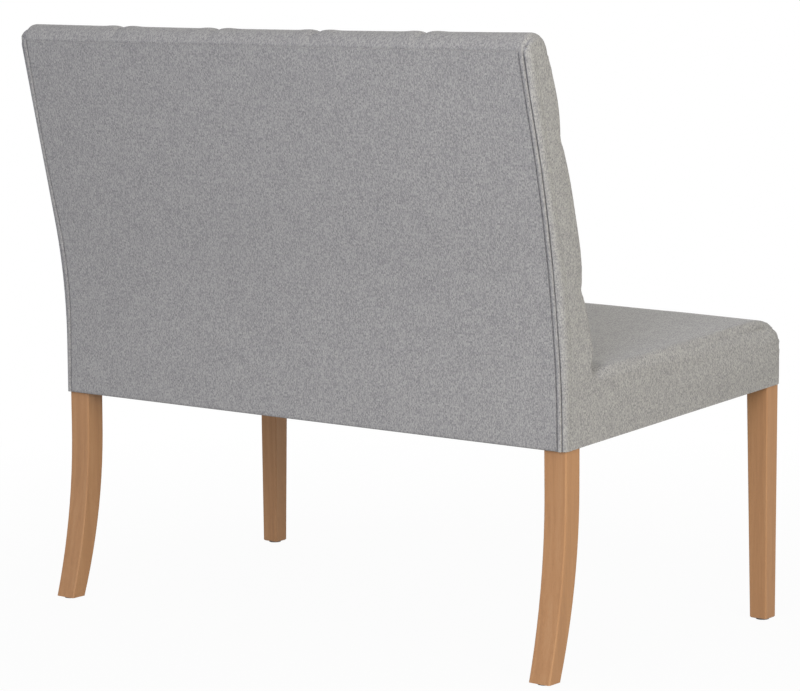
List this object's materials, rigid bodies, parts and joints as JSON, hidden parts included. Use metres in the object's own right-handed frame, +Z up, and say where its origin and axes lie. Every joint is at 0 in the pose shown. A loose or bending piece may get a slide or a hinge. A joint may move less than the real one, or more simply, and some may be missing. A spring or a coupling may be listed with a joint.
{
  "type": "chesterfield bench",
  "caption": "Upholstered dining bench with a raked, deep-buttoned back, a plain padded seat widening to the front, and tapered and sabre beech legs.",
  "frame": {"origin": "on the floor under the middle of the overall box", "axes": "+Z up, the bench faces -Y, X along its length"},
  "size_m": [1.1056, 0.667, 0.982],
  "materials": {
    "fabric": "grey woven upholstery fabric",
    "beech": "clear satin lacquer on beech",
    "frame_wood": "raw sawn hardwood",
    "board": "raw hardboard",
    "filling": "polyurethane foam and polyester fleece",
    "webbing": "elastic upholstery webbing",
    "dust_cloth": "black non-woven cloth",
    "twine": "waxed twine",
    "steel": "zinc-plated steel",
    "glide_plastic": "dark moulded plastic"
  },
  "bodies": {
    "root": {"back_cover": "fabric", "back_foam": "filling", "back_lower_rail": "frame_wood", "back_stile_left": "frame_wood", "back_stile_right": "frame_wood", "back_top_rail": "frame_wood", "centre_rail": "frame_wood", "corner_block_front_left": "frame_wood", "corner_block_front_right": "frame_wood", "corner_block_rear_left": "frame_wood", "corner_block_rear_right": "frame_wood", "corner_block_screws": "steel", "corner_welt_left": "fabric", "corner_welt_right": "fabric", "dust_cover": "dust_cloth", "floor_glides": "glide_plastic", "frame_dowels": "frame_wood", "front_leg_left": "beech", "front_leg_right": "beech", "front_rail": "frame_wood", "leg_bolt_nuts": "steel", "leg_bolt_washers": "steel", "leg_bolts": "steel", "rear_board": "board", "rear_leg_left": "beech", "rear_leg_right": "beech", "rear_panel": "fabric", "rear_rail": "frame_wood", "rear_wadding": "filling", "seat_cover": "fabric", "seat_foam": "filling", "side_rail_left": "frame_wood", "side_rail_right": "frame_wood", "tuft_board": "board", "tuft_buttons": "fabric", "tuft_toggles": "glide_plastic", "tuft_twines": "twine", "webbing_crosswise": "webbing", "webbing_lengthwise": "webbing"}
  },
  "joints": []
}
